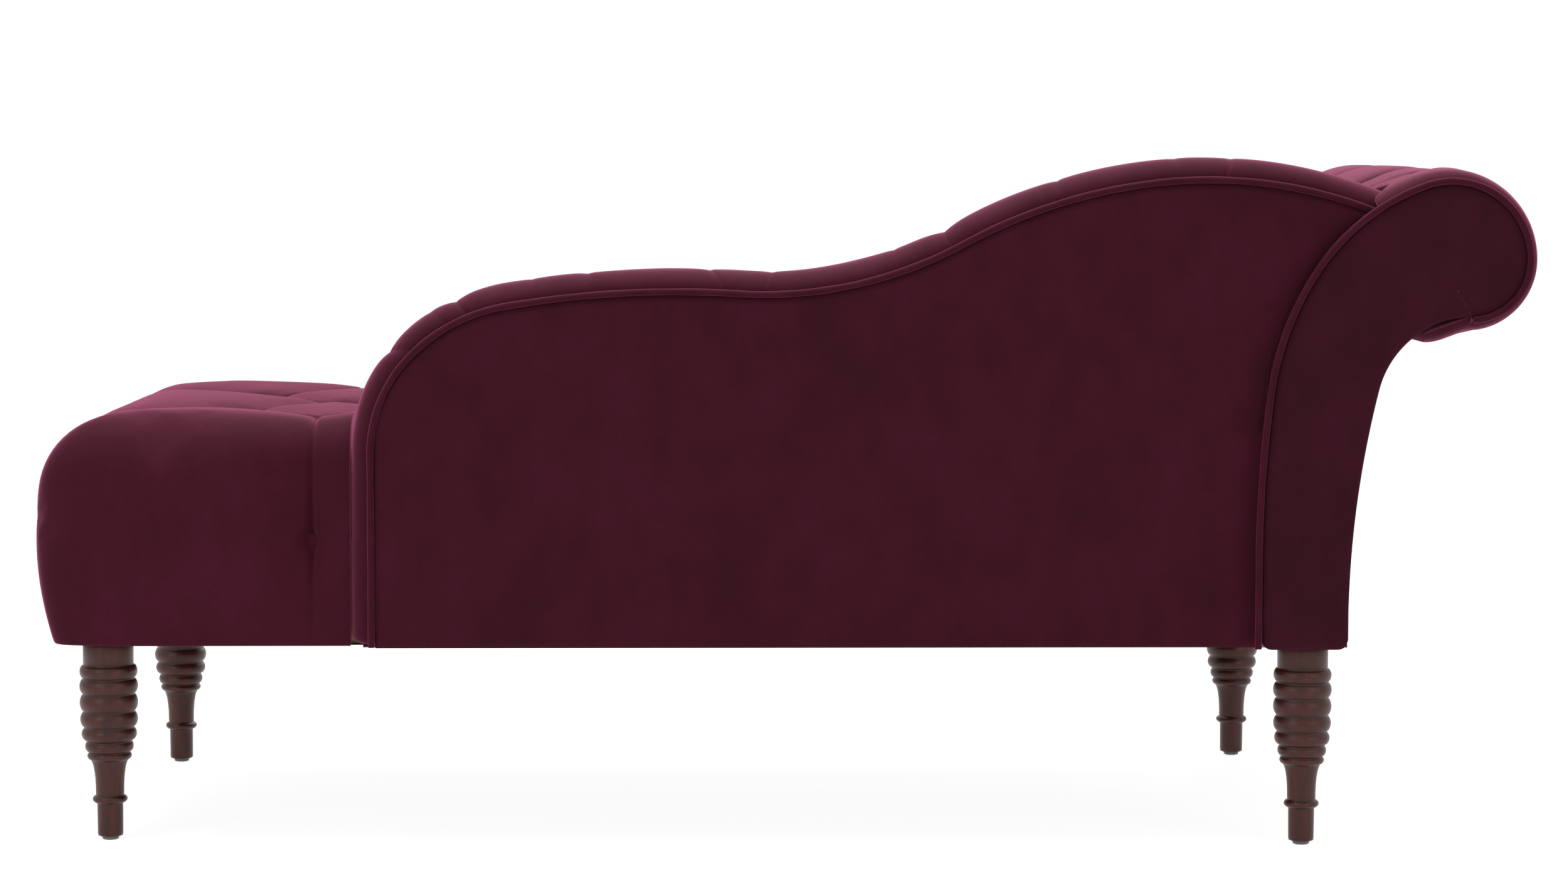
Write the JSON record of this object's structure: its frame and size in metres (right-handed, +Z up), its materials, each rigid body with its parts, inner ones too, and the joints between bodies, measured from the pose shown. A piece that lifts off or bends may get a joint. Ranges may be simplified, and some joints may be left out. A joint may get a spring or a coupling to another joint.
{
  "type": "chaise longue",
  "caption": "Buttoned velvet chaise longue with a rolled scroll arm at one end, a wave-topped piped back along part of one side, and turned beehive legs on glides.",
  "frame": {"origin": "on the floor under the middle of the overall box", "axes": "+X to the open foot end, +Y to the plain rear with the back, +Z up"},
  "size_m": [1.68, 0.7388, 0.7737],
  "materials": {
    "velvet": "cut pile velvet, soft sheen",
    "panel_velvet": "cut pile velvet stretched flat",
    "welt": "velvet over cord",
    "foam": "open cell foam",
    "felt": "needled felt",
    "webbing": "woven webbing",
    "hardwood": "planed beech",
    "plywood": "sanded plywood",
    "hardboard": "smooth hardboard",
    "leg_wood": "stained and lacquered",
    "glide": "moulded nylon",
    "lining": "non-woven lining"
  },
  "bodies": {
    "root": {"seat_rail_rear": "hardwood", "seat_rail_front": "hardwood", "seat_rail_foot": "hardwood", "seat_rail_head": "hardwood", "seat_cross_rail_1": "hardwood", "seat_cross_rail_2": "hardwood", "corner_block_foot_rear": "hardwood", "corner_block_foot_front": "hardwood", "corner_block_head_rear": "hardwood", "corner_block_head_front": "hardwood", "seat_webbing": "webbing", "seat_felt": "felt", "seat_cover": "velvet", "seat_foam": "foam", "seat_border_foam": "foam", "seat_buttons": "velvet", "back_board": "plywood", "back_post_1": "hardwood", "back_post_2": "hardwood", "back_post_3": "hardwood", "back_inner_panel": "hardboard", "back_cover": "velvet", "back_foam": "foam", "back_buttons": "velvet", "back_rear_panel": "panel_velvet", "back_piping": "welt", "arm_scroll_board_rear": "plywood", "arm_scroll_board_front": "plywood", "arm_base_rail": "hardwood", "arm_tie_rail": "hardwood", "arm_slats": "hardwood", "arm_cover": "velvet", "arm_foam": "foam", "arm_buttons": "velvet", "arm_outside_panel": "panel_velvet", "arm_facing_rear": "panel_velvet", "arm_facing_front": "panel_velvet", "arm_piping_rear": "welt", "arm_piping_front": "welt", "legs": "leg_wood", "leg_glides": "glide", "dust_lining": "lining"}
  },
  "joints": []
}
